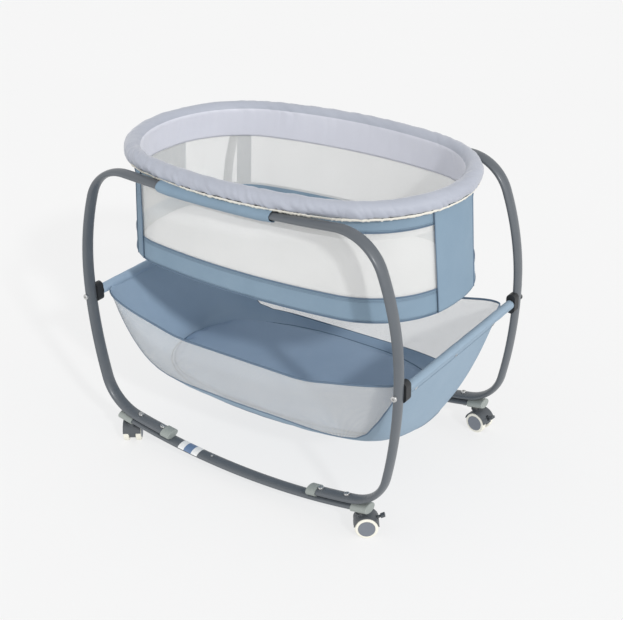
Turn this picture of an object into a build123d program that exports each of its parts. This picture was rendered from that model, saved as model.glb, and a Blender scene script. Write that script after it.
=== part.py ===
"""Rocking baby crib: an oval bassinet held by two bent tube loops on rockers and casters.

Millimetres. +X runs along the crib, the front is -Y, +Z is up, and the floor is z = 0
at the middle of the crib.
"""

from build123d import *
import os
from math import asin, cos, degrees, radians, sin, sqrt

# ---- side loops and rockers: flat oval steel tube, bent in the XZ plane ----
TUBE_HALF_WIDTH = 16.0        # across the crib (Y)
TUBE_HALF_HEIGHT = 7.5        # in the plane of the bend
TUBE_WALL = 1.2
LOOP_Y = 252.7                # centre plane of each loop and rocker
ROCKER_R = 1717.0
ROCKER_LOW_Z = 38.0           # centreline height at mid length
ROCKER_END_X = 316.0
STACK = 2 * TUBE_HALF_HEIGHT + 0.2    # loop tube lies on the rocker tube
LOOP_END_X = 205.0            # inner ends of the loop's bottom runs
BEND_START_X = 304.5
CORNER_R = 105.0
LOWER_LEG_R = 1100.0
LOWER_LEG_TURN = 12.6
UPPER_LEG_R = 650.0
UPPER_LEG_TURN = 19.97
TOP_DIP = 4.5                 # slope of the top run where it leaves the corner
TOP_CORNER_TURN = 90 - UPPER_LEG_TURN + TOP_DIP

# ---- rocker joint, caps, bolts and sticker ----
JOINT_X = 90.0                # where the short rocker piece enters the long one
SWAGE_LENGTH = 45.0
SWAGE_CLEARANCE = 0.15
SWAGE_WALL = 1.0
BUTTON_X = 79.0
BUTTON_R = 3.0
BOLT_X = (225.0, 292.0)
BOLT_R = 3.0
BOLT_HOLE_R = 3.2
HEAD_R = 6.5
HEAD_HEIGHT = 4.0
NUT_R, NUT_HEIGHT = 5.8, 3.0
HEAD_ROUND = 0.45             # shares of the head's height or radius
SOCKET_R, SOCKET_DEPTH = 0.38, 0.5
STICKER_X = (-168.0, -112.0)
STICKER_THICKNESS = 0.25
LOOP_CAP_X = (218.0, 194.0)   # open end over the tube, closed end towards the middle
ROCKER_CAP_X = (310.0, 350.0)
CAP_GROWTH = 2.8              # caps stand this far proud of the tube
CAP_EDGE = 2.5
FLANGE_R, FLANGE_HEIGHT = 4.2, 1.2
FLANGE_RISE = 3.6             # underside of the button's flange above the tube's centreline
BUTTON_RISE, BUTTON_LENGTH = 4.0, 6.0
BUTTON_ROUND = 1.5
LEAF_FOLD = ((-12.0, -3.7), (14.0, -3.7), (-4.0, 3.1))    # from the button's axis, in XZ
LEAF_WIDTH = 8.0
LEAF_THICKNESS = 0.7

# ---- cross bars that carry the lower basket ----
BAR_Z = 368.6
BAR_X = 414.2
BAR_R = 8.0
BAR_WALL = 1.2
BAR_END_Y = 232.8
BRACKET_Y = (222.5, 241.0)
BRACKET_HALF_X = 10.8
BRACKET_HALF_Z = 23.0
SPIGOT_R = BAR_R - BAR_WALL - 0.1
SPIGOT_LENGTH = 24.0
BAR_BOLT_LENGTH = 50.0
SLEEVE_GAP = 0.3

# ---- padded rim ring ----
RIM_A, RIM_B = 396.0, 251.0
RIM_CORNER, RIM_LEAN = 225.0, 14.0
RIM_Z = 710.7
RIM_TUBE_R = 9.5
COVER_R = 19.3
COVER_THICKNESS = 0.8
SADDLE_X = 120.0
SADDLE_Y = 244.5
SADDLE_SIZE = (26.0, 20.0)
SADDLE_Z = (684.5, 706.0)
SCREW_R = 2.0
SCREW_LENGTH = 28.0
SCREW_HEAD = (3.6, 2.4)       # radius and height
SCREW_SEAT_Z = 675.6

# ---- bassinet tub: (height, half length, half width, corner radius, lean) ----
TUB_TOP = (690.5, 392.0, 233.5, 200.0, 11.0)
TUB_BOTTOM = (469.0, 404.0, 226.5, 188.0, 8.0)
CLOTH = 1.0
BAND_Z = (662.0, 522.0)       # seams between the top band, the mesh and the bottom band
END_PANEL_HALF = 75.0
SKIRT_LOW_Z = 646.0
BOARD_THICKNESS = 4.0
MATTRESS_THICKNESS = 20.0

# ---- lower basket, from the bottom up ----
BASKET_LEVELS = (
    (165.0, 350.0, 202.0, 150.0, 15.0),
    (185.0, 358.0, 211.0, 125.0, 11.0),
    (225.0, 368.0, 219.0, 100.0, 8.0),
    (300.0, 390.0, 229.0, 68.0, 5.0),
    (372.0, 412.0, 233.0, 45.0, 2.5),
)
BASKET_CLOTH = 1.2
EDGE_DIP = 58.0               # the long top edges hang this far below the cross bars
SLEEVE_R = 11.0
SLEEVE_HALF = 221.0
SEAM_TOP_X, SEAM_MID_Z, SEAM_LOW_X, SEAM_LOW_Z = 399.0, 345.0, 305.0, 204.0
SEAM_FILLETS = (90.0, 60.0)
PAD = (346.0, 190.0, 140.0, 14.0)
PAD_Z = (166.6, 181.0)
PAD_EDGE = 5.0
SNAP_Y = (-165.0, 0.0, 165.0)
SNAP_Z = 340.0
SNAP_R = 4.5

# ---- casters: twin wheels under the rocker ends ----
CASTER_X = 325.0
TRAIL = 12.0
WHEEL_R = 25.0
WHEEL_INNER, WHEEL_OUTER = 8.0, 21.0
HUB_R = 18.4
AXLE_R = 3.0
RUNNING = 0.05                # radial clearance of a running fit
STEM_R = 4.0
WEB_HALF = 7.5
FENDER_R = (25.8, 27.6)
BOSS_TOP_Z = 53.0
BOSS_FLANGE = (10.5, 2.4)     # radius and height
PIVOT = (14.6, 12.2)          # brake lever pivot, measured from the axle
LEVER_TILT = 22.0
LEVER_TRAVEL = 20.0
LEVER_REACH = 27.0
KNOB = (10.0, 6.0, 6.0)       # length, height and half width of the lever's tip
SLOT_HALF = 4.4
SLOT_LENGTH = 22.0
LEVER_HUB_R, LEVER_HUB_HOLE_R = 2.9, 3.3
LEVER_PIN_R, LEVER_PIN_HOLE_R = 1.6, 1.65
LEVER_ARM = (4.0, 2.5)        # height and half width
AXLE_HALF = 18.0
CUT_BOX = (80.0, 60.0)
HOOD_CUTS = (2.0, -12.0, 5.0) # heights, from the axle, below which the web, its cheek and the fender stop
STEM_Z = (36.0, 71.0)
COLLAR_Z = (53.4, 55.2)
CASTERS = {                   # name: (x sign, y sign, heading of the trail in degrees)
    "front_right": (1, -1, 35.7),
    "front_left": (-1, -1, 125.7),
    "rear_right": (1, 1, -6.3),
    "rear_left": (-1, 1, 200.0),
}

ROCKER_CENTRE_Z = ROCKER_LOW_Z + ROCKER_R
LOOP_BOTTOM_R = ROCKER_R - STACK


def keep(piece, name):
    """Label a finished piece and write it as its own node."""
    piece.part.label = name
    export_step(piece.part, f"parts/{name}.step")


def arc_plane(x, y, radius):
    """Plane square to the rocker arc at x: local z points to the arc's centre."""
    angle = asin(x / radius)
    point = (x, y, ROCKER_CENTRE_Z - radius * cos(angle))
    return Plane(origin=point, x_dir=(cos(angle), 0, sin(angle)), z_dir=(-sin(angle), 0, cos(angle)))


def section_plane(path):
    """Plane across the start of a path that lies in the XZ plane, with x along Y."""
    return Plane(origin=path @ 0, x_dir=(0, 1, 0), z_dir=path % 0)


def loop_path(y):
    """Centreline of a side loop, from its right bottom end over the top to the left one."""
    first = asin(LOOP_END_X / LOOP_BOTTOM_R)
    bend = asin(BEND_START_X / LOOP_BOTTOM_R)
    start = (LOOP_END_X, ROCKER_CENTRE_Z - LOOP_BOTTOM_R * cos(first))
    corner_turn = 90 - LOWER_LEG_TURN - degrees(bend)
    turns = (
        (CORNER_R, corner_turn),
        (LOWER_LEG_R, LOWER_LEG_TURN),
        (UPPER_LEG_R, UPPER_LEG_TURN),
        (CORNER_R, TOP_CORNER_TURN),
    )
    with BuildLine(Plane.XZ.offset(-y)) as line:
        arc = JernArc(start, (cos(first), sin(first)), LOOP_BOTTOM_R, degrees(bend - first))
        for radius, turn in turns:
            arc = JernArc(arc @ 1, arc % 1, radius, turn)
        top_r = (arc @ 1).X / sin(radians(TOP_DIP))
        JernArc(arc @ 1, arc % 1, top_r, -TOP_DIP)
        mirror(about=Plane.YZ)
    return line.wire()


def rocker_path(x_from, x_to, y, radius=ROCKER_R):
    """A stretch of the rocker arc between two x positions."""
    angles = (asin(x_from / radius), asin(x_to / radius))
    start = (x_from, ROCKER_CENTRE_Z - radius * cos(angles[0]))
    heading = (cos(angles[0]), sin(angles[0]))
    with BuildLine(Plane.XZ.offset(-y)) as line:
        JernArc(start, heading, radius, degrees(angles[1] - angles[0]))
    return line.wire()


def oval_tube(path, shrink=0.0, wall=TUBE_WALL):
    """Flat oval tube along a path; wall=None makes it solid."""
    half_width, half_height = TUBE_HALF_WIDTH - shrink, TUBE_HALF_HEIGHT - shrink
    with BuildPart() as tube:
        with BuildSketch(section_plane(path)) as section:
            Ellipse(half_width, half_height)
            if wall is not None:
                Ellipse(half_width - wall, half_height - wall, mode=Mode.SUBTRACT)
        sweep(sections=section.sketch, path=path)
    return tube.part


def oval(z, a, b, corner, lean, shrink=0.0):
    """Face of eight tangent arcs with half length a and half width b."""
    a, b, corner = a - shrink, b - shrink, corner - shrink
    s, c = sin(radians(lean)), cos(radians(lean))
    p, q = a - corner * (c - s), b - corner * (c - s)
    spread = s * s - (1 - c) ** 2
    side = (p * s - q * (1 - c)) / spread
    end = (q * s - p * (1 - c)) / spread
    quarter = 90 - 2 * lean
    with BuildSketch(Plane.XY.offset(z)) as face:
        with BuildLine():
            around = ((corner, quarter), (end, 2 * lean), (corner, quarter))
            arc = JernArc((-side * s, -b + side * (1 - c)), (c, -s), side, 2 * lean)
            for radius, turn in (*around, (side, 2 * lean), *around):
                arc = JernArc(arc @ 1, arc % 1, radius, turn)
        make_face()
    return face.sketch.face()


def between(low, high, z):
    """Outline values at height z on the straight slope between two levels."""
    t = (z - low[0]) / (high[0] - low[0])
    return tuple(p + (q - p) * t for p, q in zip(low, high))


def slab(z_low, z_high, half=600.0):
    """Block that picks out the part of a shell between two heights."""
    with BuildPart() as block:
        with BuildSketch(Plane.XY.offset(z_low)):
            Rectangle(2 * half, 2 * half)
        extrude(amount=z_high - z_low)
    return block.part


def shell(levels, thickness):
    """Thin wall that follows oval outlines at several heights."""
    with BuildPart() as wall:
        loft(sections=[oval(*level) for level in levels], ruled=True)
        loft(sections=[oval(*level, shrink=thickness) for level in levels], ruled=True, mode=Mode.SUBTRACT)
    return wall.part


def ring(outer_r, inner_r=0.0):
    """Round section carried along the rim's oval centreline."""
    path = oval(RIM_Z, RIM_A, RIM_B, RIM_CORNER, RIM_LEAN).outer_wire()
    with BuildPart() as hoop:
        with BuildSketch(Plane(origin=path @ 0, z_dir=path % 0)) as section:
            Circle(outer_r)
            if inner_r:
                Circle(inner_r, mode=Mode.SUBTRACT)
        sweep(sections=section.sketch, path=path)
    return hoop.part


def plate(z_low, z_high, a, b, corner, lean, edge=0.0):
    """Flat oval sheet or pad, with its two rims rounded by edge."""
    with BuildPart() as sheet:
        extrude(oval(z_low, a, b, corner, lean), amount=z_high - z_low)
        if edge:
            flats = sheet.faces().filter_by(Axis.Z)
            fillet(flats.edges(), edge)
    return sheet.part


def end_cap(x_open, x_closed, y, radius, blockers):
    """Oval cap over a tube end on the rocker arc, less the tubes that pass through it."""
    start = arc_plane(x_open, y, radius)
    forward = start.x_dir if x_closed > x_open else -start.x_dir
    with BuildPart() as cap:
        with BuildSketch(Plane(origin=start.origin, x_dir=(0, 1, 0), z_dir=forward)):
            Ellipse(TUBE_HALF_WIDTH + CAP_GROWTH, TUBE_HALF_HEIGHT + CAP_GROWTH)
        extrude(amount=abs(x_closed - x_open))
        closed_face = cap.faces().sort_by(Axis(start.origin, forward))[-1]
        fillet(closed_face.edges(), CAP_EDGE)
        for blocker in blockers:
            add(blocker, mode=Mode.SUBTRACT)
    return cap.part


def bolt(seat, shank, head_r=HEAD_R, head_height=HEAD_HEIGHT, shank_r=BOLT_R):
    """Round-headed socket bolt: the head stands on the seat plane, the shank goes below it."""
    with BuildPart() as item:
        with BuildSketch(seat):
            Circle(head_r)
        extrude(amount=head_height)
        top = item.faces().sort_by(Axis(seat.origin, seat.z_dir))[-1]
        fillet(top.edges(), head_height * HEAD_ROUND)
        with BuildSketch(seat.offset(head_height)):
            RegularPolygon(head_r * SOCKET_R, 6)
        extrude(amount=-head_height * SOCKET_DEPTH, mode=Mode.SUBTRACT)
        with BuildSketch(seat):
            Circle(shank_r)
        extrude(amount=-shank)
    return item.part


os.makedirs("parts", exist_ok=True)

BOLT_PLANES = [
    arc_plane(sign * x, y, LOOP_BOTTOM_R) for y in (-LOOP_Y, LOOP_Y) for sign in (-1, 1) for x in BOLT_X
]

# ---- side loops ----
loop_solids = {}
for name, side in (("front", -1), ("rear", 1)):
    path = loop_path(side * LOOP_Y)
    loop_solids[name] = oval_tube(path, wall=None)
    with BuildPart() as side_loop:
        add(oval_tube(path))
        for plane in BOLT_PLANES:
            with BuildSketch(plane):
                Circle(BOLT_HOLE_R)
            extrude(amount=2 * TUBE_HALF_HEIGHT, both=True, mode=Mode.SUBTRACT)
        for sign in (-1, 1):
            with BuildSketch(Plane.XZ.offset(-side * LOOP_Y)):
                with Locations((sign * BAR_X, BAR_Z)):
                    Circle(BOLT_HOLE_R)
            extrude(amount=2 * TUBE_HALF_WIDTH, both=True, mode=Mode.SUBTRACT)
            with BuildSketch(Plane.XY.offset(RIM_Z)):
                with Locations((sign * SADDLE_X, side * SADDLE_Y)):
                    Circle(SCREW_R + 0.2)
            extrude(amount=-60, mode=Mode.SUBTRACT)
    keep(side_loop, f"side_loop_{name}")

# ---- rockers, each a long piece and a short piece that plugs into it ----
rocker_solids = {}
for name, side in (("front", -1), ("rear", 1)):
    y = side * LOOP_Y
    hand = -side                      # the rear rocker is the front one turned half round
    ends = sorted((-hand * JOINT_X, hand * ROCKER_END_X))
    rocker_solids[name] = oval_tube(rocker_path(-ROCKER_END_X, ROCKER_END_X, y), wall=None)
    with BuildSketch(Plane((-hand * BUTTON_X, y, ROCKER_LOW_Z))) as button_hole:
        Circle(BUTTON_R + 0.1)
    with BuildPart() as long_piece:
        add(oval_tube(rocker_path(*ends, y)))
        for plane in BOLT_PLANES:
            with BuildSketch(plane):
                Circle(BOLT_HOLE_R)
            extrude(amount=2 * STACK, both=True, mode=Mode.SUBTRACT)
        extrude(button_hole.sketch, amount=2 * TUBE_HALF_HEIGHT, mode=Mode.SUBTRACT)
    keep(long_piece, f"rocker_{name}_long")

    ends = sorted((-hand * JOINT_X, -hand * ROCKER_END_X))
    shoulder = sorted((-hand * JOINT_X, -hand * (JOINT_X + SWAGE_WALL)))
    swage = sorted((-hand * (JOINT_X - SWAGE_LENGTH), -hand * (JOINT_X + SWAGE_WALL)))
    swage_shrink = TUBE_WALL + SWAGE_CLEARANCE
    with BuildPart() as short_piece:
        add(oval_tube(rocker_path(*ends, y)))
        add(oval_tube(rocker_path(*shoulder, y), wall=swage_shrink + SWAGE_WALL))
        add(oval_tube(rocker_path(*swage, y), shrink=swage_shrink, wall=SWAGE_WALL))
        for plane in BOLT_PLANES:
            with BuildSketch(plane):
                Circle(BOLT_HOLE_R)
            extrude(amount=2 * STACK, both=True, mode=Mode.SUBTRACT)
        extrude(button_hole.sketch, amount=2 * TUBE_HALF_HEIGHT, mode=Mode.SUBTRACT)
    keep(short_piece, f"rocker_{name}_short")

# ---- caps on the tube ends ----
with BuildPart() as loop_end_caps:
    for name, side in (("front", -1), ("rear", 1)):
        for sign in (-1, 1):
            blockers = (loop_solids[name], rocker_solids[name])
            add(end_cap(sign * LOOP_CAP_X[0], sign * LOOP_CAP_X[1], side * LOOP_Y, LOOP_BOTTOM_R, blockers))
keep(loop_end_caps, "loop_end_caps")

with BuildPart() as rocker_end_caps:
    for name, side in (("front", -1), ("rear", 1)):
        for sign in (-1, 1):
            blockers = (loop_solids[name], rocker_solids[name])
            add(end_cap(sign * ROCKER_CAP_X[0], sign * ROCKER_CAP_X[1], side * LOOP_Y, ROCKER_R, blockers))
            with BuildSketch(Plane.XY.offset(STEM_Z[0])):
                with Locations((sign * CASTER_X, side * LOOP_Y)):
                    Circle(STEM_R)
            extrude(amount=STEM_Z[1] - STEM_Z[0], mode=Mode.SUBTRACT)
keep(rocker_end_caps, "rocker_end_caps")

# ---- bolts that clamp each loop end on its rocker ----
NUT_DROP = TUBE_HALF_HEIGHT + STACK
HEAD_SEAT = TUBE_HALF_HEIGHT + 0.1
with BuildPart() as rocker_bolts:
    for plane in BOLT_PLANES:
        add(bolt(plane.offset(HEAD_SEAT), HEAD_SEAT + NUT_DROP + NUT_HEIGHT - 0.2))
keep(rocker_bolts, "rocker_bolts")

with BuildPart() as rocker_nuts:
    for plane in BOLT_PLANES:
        with BuildSketch(plane.offset(-NUT_DROP)):
            RegularPolygon(NUT_R, 6)
            Circle(BOLT_R, mode=Mode.SUBTRACT)
        extrude(amount=-NUT_HEIGHT)
keep(rocker_nuts, "rocker_nuts")

# ---- spring buttons that lock the two rocker pieces, with their leaf springs ----
for name, side in (("front", -1), ("rear", 1)):
    button_x = side * BUTTON_X
    tube_z = ROCKER_CENTRE_Z - sqrt(ROCKER_R**2 - BUTTON_X**2)
    with BuildPart() as spring_button:
        with BuildSketch(Plane((button_x, side * LOOP_Y, tube_z + FLANGE_RISE))):
            Circle(FLANGE_R)
        extrude(amount=FLANGE_HEIGHT)
        with BuildSketch(Plane((button_x, side * LOOP_Y, tube_z + BUTTON_RISE))):
            Circle(BUTTON_R)
        extrude(amount=BUTTON_LENGTH)
        fillet(spring_button.faces().sort_by(Axis.Z)[-1].edges(), BUTTON_ROUND)
    keep(spring_button, f"spring_button_{name}")

    with BuildPart() as leaf:
        with BuildSketch(Plane.XZ.offset(-side * LOOP_Y)) as strip:
            with BuildLine() as fold:
                Polyline(*[(button_x + x, tube_z + z) for x, z in LEAF_FOLD])
            trace(line_width=LEAF_THICKNESS)
        extrude(amount=LEAF_WIDTH / 2, both=True)
    keep(leaf, f"button_spring_{name}")

# ---- plain sticker wrapped over the front rocker ----
sticker_path = rocker_path(*STICKER_X, -LOOP_Y)
with BuildPart() as stripe_sticker:
    with BuildSketch(section_plane(sticker_path)) as band:
        Ellipse(TUBE_HALF_WIDTH + STICKER_THICKNESS, TUBE_HALF_HEIGHT + STICKER_THICKNESS)
        Ellipse(TUBE_HALF_WIDTH, TUBE_HALF_HEIGHT, mode=Mode.SUBTRACT)
        with Locations((0, -9)):
            Rectangle(40, 20, mode=Mode.SUBTRACT)
    sweep(sections=band.sketch, path=sticker_path)
keep(stripe_sticker, "stripe_sticker")

# ---- cross bars, their brackets and bolts ----
for name, sign in (("left", -1), ("right", 1)):
    with BuildPart() as cross_bar:
        with BuildSketch(Plane.XZ.offset(-BAR_END_Y)):
            with Locations((sign * BAR_X, BAR_Z)):
                Circle(BAR_R)
                Circle(BAR_R - BAR_WALL, mode=Mode.SUBTRACT)
        extrude(amount=2 * BAR_END_Y)
    keep(cross_bar, f"cross_bar_{name}")

BRACKET_DEPTH = BRACKET_Y[1] - BRACKET_Y[0]
with BuildPart() as bar_brackets:
    for name, side in (("front", -1), ("rear", 1)):
        for sign in (-1, 1):
            centre = (sign * BAR_X, side * BRACKET_Y[0], BAR_Z)
            face = Plane(origin=centre, x_dir=(1, 0, 0), z_dir=(0, side, 0))
            with BuildSketch(face):
                SlotOverall(2 * BRACKET_HALF_Z, 2 * BRACKET_HALF_X, rotation=90)
            extrude(amount=BRACKET_DEPTH)
            with BuildSketch(face):
                Circle(BAR_R)
            extrude(amount=BAR_END_Y - BRACKET_Y[0], mode=Mode.SUBTRACT)
            with BuildSketch(face.offset(BAR_END_Y - BRACKET_Y[0])):
                Circle(SPIGOT_R)
            extrude(amount=-SPIGOT_LENGTH)
            with BuildSketch(face.offset(BRACKET_DEPTH)):
                Circle(BOLT_R)
            extrude(amount=-BAR_BOLT_LENGTH, mode=Mode.SUBTRACT)
            add(loop_solids[name], mode=Mode.SUBTRACT)
keep(bar_brackets, "bar_brackets")

with BuildPart() as bar_bolts:
    for side in (-1, 1):
        for sign in (-1, 1):
            seat = (sign * BAR_X, side * (LOOP_Y + TUBE_HALF_WIDTH), BAR_Z)
            add(bolt(Plane(origin=seat, z_dir=(0, side, 0)), BAR_BOLT_LENGTH))
keep(bar_bolts, "bar_bolts")

# ---- rim: steel ring, foam, cover, and the saddles that hold it on the loops ----
SADDLE_SPOTS = [(x, y) for y in (-SADDLE_Y, SADDLE_Y) for x in (-SADDLE_X, SADDLE_X)]

with BuildPart() as rim_tube:
    add(ring(RIM_TUBE_R, RIM_TUBE_R - BAR_WALL))
    with BuildSketch(Plane.XY.offset(RIM_Z)):
        with Locations(*SADDLE_SPOTS):
            Circle(SCREW_R)
    extrude(amount=-2 * RIM_TUBE_R, mode=Mode.SUBTRACT)
keep(rim_tube, "rim_tube")

with BuildPart() as rim_saddles:
    with BuildSketch(Plane.XY.offset(SADDLE_Z[0])):
        with Locations(*SADDLE_SPOTS):
            Rectangle(*SADDLE_SIZE)
    extrude(amount=SADDLE_Z[1] - SADDLE_Z[0])
    add(ring(RIM_TUBE_R + 0.05), mode=Mode.SUBTRACT)
    add(loop_solids["front"], mode=Mode.SUBTRACT)
    add(loop_solids["rear"], mode=Mode.SUBTRACT)
    with BuildSketch(Plane.XY.offset(SADDLE_Z[0] - 1)):
        with Locations(*SADDLE_SPOTS):
            Circle(SCREW_R)
    extrude(amount=SCREW_LENGTH, mode=Mode.SUBTRACT)
keep(rim_saddles, "rim_saddles")

with BuildPart() as rim_screws:
    for x, y in SADDLE_SPOTS:
        seat = Plane(origin=(x, y, SCREW_SEAT_Z), z_dir=(0, 0, -1))
        add(bolt(seat, SCREW_LENGTH, *SCREW_HEAD, shank_r=SCREW_R))
keep(rim_screws, "rim_screws")

with BuildPart() as saddle_notch:
    with BuildSketch(Plane.XY.offset(SADDLE_Z[0] - 4)):
        with Locations(*SADDLE_SPOTS):
            Rectangle(SADDLE_SIZE[0] + 1, SADDLE_SIZE[1] + 1)
    extrude(amount=SADDLE_Z[1] - SADDLE_Z[0] + 4.5)

with BuildPart() as rim_padding:
    add(ring(COVER_R - COVER_THICKNESS - 0.1, RIM_TUBE_R + 0.1))
    add(saddle_notch.part, mode=Mode.SUBTRACT)
keep(rim_padding, "rim_padding")

skirt_low = (SKIRT_LOW_Z, 390.0, 229.6, 196.0, 11.0)
skirt_high = (RIM_Z - 2.7, RIM_A - COVER_R + 0.9, RIM_B - COVER_R + 0.9, RIM_CORNER - COVER_R, RIM_LEAN)
with BuildPart() as rim_cover:
    add(ring(COVER_R, COVER_R - COVER_THICKNESS))
    add(shell((skirt_low, skirt_high), COVER_THICKNESS))
    add(ring(COVER_R - COVER_THICKNESS), mode=Mode.SUBTRACT)
    add(saddle_notch.part, mode=Mode.SUBTRACT)
keep(rim_cover, "rim_cover")

# ---- bassinet tub: bands, mesh, end panels, floor, board and mattress ----
tub = shell((TUB_BOTTOM, TUB_TOP), CLOTH)
with BuildPart() as end_zone:
    with BuildSketch(Plane.XY.offset(BAND_Z[1])):
        Rectangle(1000, 2 * END_PANEL_HALF)
    extrude(amount=BAND_Z[0] - BAND_Z[1])

with BuildPart() as top_band:
    add(tub)
    add(slab(BAND_Z[0], TUB_TOP[0] + 1), mode=Mode.INTERSECT)
keep(top_band, "top_band")

with BuildPart() as bottom_band:
    add(tub)
    add(slab(TUB_BOTTOM[0] - 1, BAND_Z[1]), mode=Mode.INTERSECT)
keep(bottom_band, "bottom_band")

with BuildPart() as mesh_wall:
    add(tub)
    add(slab(BAND_Z[1], BAND_Z[0]), mode=Mode.INTERSECT)
    add(end_zone.part, mode=Mode.SUBTRACT)
keep(mesh_wall, "mesh_wall")

with BuildPart() as end_panels:
    add(tub)
    add(end_zone.part, mode=Mode.INTERSECT)
keep(end_panels, "end_panels")

floor_z = TUB_BOTTOM[0]
board_top = floor_z + BOARD_THICKNESS
with BuildPart() as tub_floor:
    add(plate(floor_z - CLOTH, floor_z, *TUB_BOTTOM[1:]))
keep(tub_floor, "tub_floor")

with BuildPart() as floor_board:
    add(plate(floor_z, board_top, TUB_BOTTOM[1] - 3, TUB_BOTTOM[2] - 3, TUB_BOTTOM[3], TUB_BOTTOM[4]))
keep(floor_board, "floor_board")

with BuildPart() as mattress:
    outline = (TUB_BOTTOM[1] - 5, TUB_BOTTOM[2] - 4, TUB_BOTTOM[3], TUB_BOTTOM[4])
    add(plate(board_top, board_top + MATTRESS_THICKNESS, *outline, edge=6.0))
keep(mattress, "mattress")

# ---- lower basket: a sling between the cross bars with mesh sides ----
inner_levels = [(z + BASKET_CLOTH if z == BASKET_LEVELS[0][0] else z, *rest) for z, *rest in BASKET_LEVELS]
top_z, top_a = BASKET_LEVELS[-1][:2]
with BuildSketch(Plane.XZ) as above_edge:
    with BuildLine():
        ThreePointArc((-top_a, top_z), (0, top_z - EDGE_DIP), (top_a, top_z))
        Polyline((top_a, top_z), (460, top_z), (460, 520), (-460, 520), (-460, top_z), (-top_a, top_z))
    make_face()
with BuildSketch(Plane.XZ) as mesh_window:
    with BuildLine():
        low = [(-SEAM_LOW_X, SEAM_LOW_Z), (SEAM_LOW_X, SEAM_LOW_Z)]
        right = [(SEAM_TOP_X, SEAM_MID_Z), (SEAM_TOP_X, 420)]
        left = [(-SEAM_TOP_X, 420), (-SEAM_TOP_X, SEAM_MID_Z)]
        Polyline(*low, *right, *left, close=True)
    make_face()
    for height, radius in enumerate(SEAM_FILLETS):
        fillet(mesh_window.vertices().group_by(Axis.Y)[height], radius)

with BuildPart() as basket_shell:
    loft(sections=[oval(*level) for level in BASKET_LEVELS], ruled=True)
    inner = [oval(*level, shrink=BASKET_CLOTH) for level in inner_levels]
    loft(sections=inner, ruled=True, mode=Mode.SUBTRACT)
    extrude(above_edge.sketch, amount=300, both=True, mode=Mode.SUBTRACT)

with BuildPart() as basket_mesh:
    add(basket_shell.part)
    extrude(mesh_window.sketch, amount=300, both=True, mode=Mode.INTERSECT)
keep(basket_mesh, "basket_mesh")

with BuildPart() as basket_sling:
    add(basket_shell.part)
    extrude(mesh_window.sketch, amount=300, both=True, mode=Mode.SUBTRACT)
    for radius, mode in ((SLEEVE_R, Mode.ADD), (BAR_R + SLEEVE_GAP, Mode.SUBTRACT)):
        with BuildSketch(Plane.XZ.offset(-SLEEVE_HALF)):
            with Locations((-BAR_X, BAR_Z), (BAR_X, BAR_Z)):
                Circle(radius)
        extrude(amount=2 * SLEEVE_HALF, mode=mode)
keep(basket_sling, "basket_sling")

with BuildPart() as basket_pad:
    add(plate(*PAD_Z, *PAD, edge=PAD_EDGE))
keep(basket_pad, "basket_pad")

wall_low, wall_high = BASKET_LEVELS[-2], BASKET_LEVELS[-1]
snap_x = between(wall_low, wall_high, SNAP_Z)[1]
rise = (wall_high[1] - wall_low[1], wall_high[0] - wall_low[0])
with BuildPart() as sleeve_snaps:
    for sign in (-1, 1):
        for y in SNAP_Y:
            spot = Plane(origin=(sign * snap_x, y, SNAP_Z), z_dir=(sign * rise[1], 0, -rise[0]))
            with BuildSketch(spot.offset(0.1)):
                Circle(SNAP_R)
            extrude(amount=1.4)
keep(sleeve_snaps, "sleeve_snaps")

# ---- casters ----
CASTER_BASES = {
    name: Plane(
        origin=(x_sign * CASTER_X, y_sign * LOOP_Y, 0),
        x_dir=(cos(radians(heading)), sin(radians(heading)), 0),
        z_dir=(0, 0, 1),
    )
    for name, (x_sign, y_sign, heading) in CASTERS.items()
}

with BuildPart() as caster_stems:
    for base in CASTER_BASES.values():
        for radius, (low_z, high_z) in ((STEM_R, STEM_Z), (STEM_R + 3, COLLAR_Z)):
            with BuildSketch(base.offset(low_z)):
                Circle(radius)
            extrude(amount=high_z - low_z)
keep(caster_stems, "caster_stems")

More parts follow.
